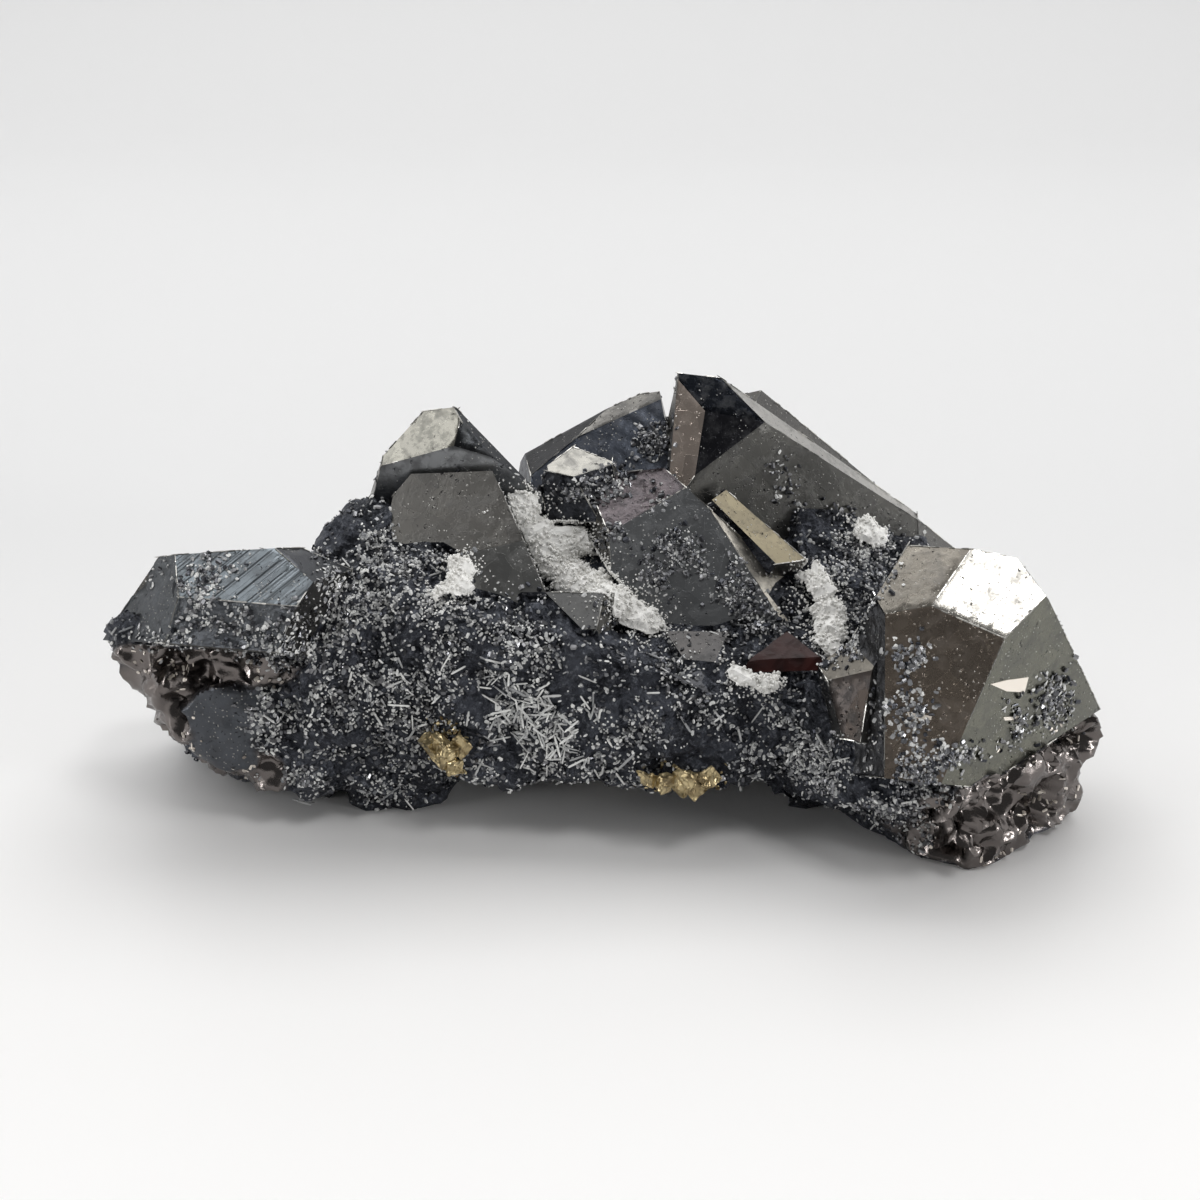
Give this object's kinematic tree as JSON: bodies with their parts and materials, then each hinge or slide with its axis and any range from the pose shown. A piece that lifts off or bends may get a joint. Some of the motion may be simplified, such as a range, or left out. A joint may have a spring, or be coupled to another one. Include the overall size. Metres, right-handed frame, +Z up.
{
  "type": "tetrahedrite crystal specimen",
  "caption": "Display mineral specimen: steel-grey tetrahedrite crystals grown together on dark rough matrix, with white quartz crust and brassy pyrite; stands on a shelf.",
  "frame": {"origin": "on the floor, under the middle of the bounding box", "axes": "+Z up, +X along the length with the large single crystal at the +X end, the front with most crystal faces looks along -Y"},
  "size_m": [0.0634, 0.032, 0.0262],
  "materials": {
    "tetrahedrite": "metallic dark grey crystal faces on rough grey-black matrix",
    "quartz": "white sugary crust",
    "pyrite": "brassy, slightly tarnished",
    "sphalerite": "dark red, resinous"
  },
  "bodies": {
    "root": {"tetrahedrite": "tetrahedrite", "quartz_middle_groove": "quartz", "quartz_left_pocket": "quartz", "quartz_right_seam": "quartz", "quartz_right_notch": "quartz", "quartz_ledge": "quartz", "pyrite_left": "pyrite", "pyrite_right": "pyrite", "sphalerite": "sphalerite"}
  },
  "joints": []
}
